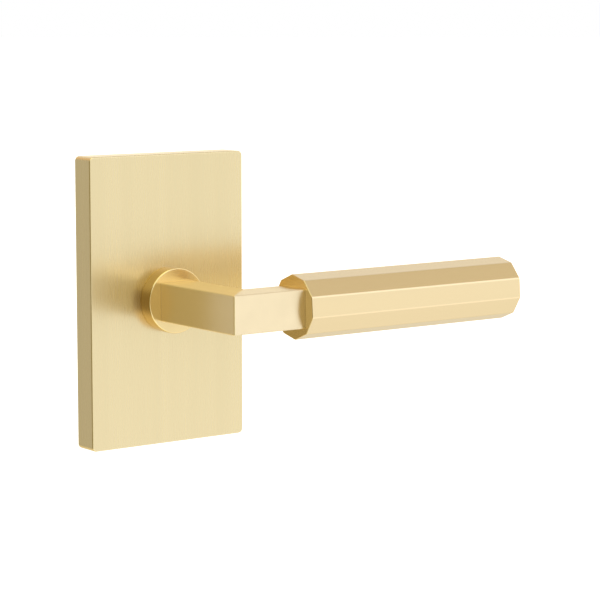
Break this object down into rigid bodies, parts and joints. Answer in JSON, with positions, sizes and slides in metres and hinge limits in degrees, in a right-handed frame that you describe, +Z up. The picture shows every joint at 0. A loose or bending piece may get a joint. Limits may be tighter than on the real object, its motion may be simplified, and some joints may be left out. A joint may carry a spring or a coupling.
{
  "type": "door lever handle trim",
  "caption": "Door lever handle on a tall rectangular rosette: square bent neck, faceted straight grip, spring cassette and square spindle behind.",
  "frame": {"origin": "where the spindle axis meets the door face", "axes": "+Z up, +Y along the spindle into the door, +X along the grip; the trim stands out of the door towards -Y"},
  "size_m": [0.1574, 0.1033, 0.108],
  "materials": {
    "satin_brass": "satin",
    "turned_brass": "turned",
    "zinc_steel": "zinc plated",
    "spring_steel": "oiled",
    "black_steel": "black oxide",
    "bush_plastic": "moulded"
  },
  "bodies": {
    "root": {"rosette_plate": "satin_brass", "rosette_grub_screw": "satin_brass", "mounting_plate": "zinc_steel", "bearing_bush": "bush_plastic", "through_bolt_upper": "zinc_steel", "through_bolt_lower": "zinc_steel", "through_bolt_washer_upper": "zinc_steel", "through_bolt_washer_lower": "zinc_steel", "cassette_housing": "zinc_steel", "cassette_cover": "zinc_steel", "cassette_pillar_1": "turned_brass", "cassette_pillar_2": "turned_brass", "cassette_pillar_3": "turned_brass", "cassette_screw_1": "zinc_steel", "cassette_screw_2": "zinc_steel", "cassette_screw_3": "zinc_steel", "return_spring": "spring_steel", "thrust_washer": "zinc_steel"},
    "lever": {"lever_shank": "satin_brass", "lever_neck": "satin_brass", "neck_screw": "black_steel", "cam_plate": "zinc_steel", "retaining_ring": "spring_steel", "spindle": "zinc_steel", "spindle_set_screw": "black_steel", "grip": "satin_brass", "grip_screw": "black_steel", "grip_lock_washer": "zinc_steel", "grip_dowel": "zinc_steel", "grip_end_plug": "satin_brass"}
  },
  "joints": [
    {"name": "lever_turn", "type": "hinge", "parent": "root", "child": "lever", "pos_m": [0, 0, 0], "axis": [0, 1, 0], "range_deg": [0, 50], "stiffness_Nm_per_rad": 1.2, "springref_deg": -28.65, "deforming": ["return_spring"]}
  ]
}
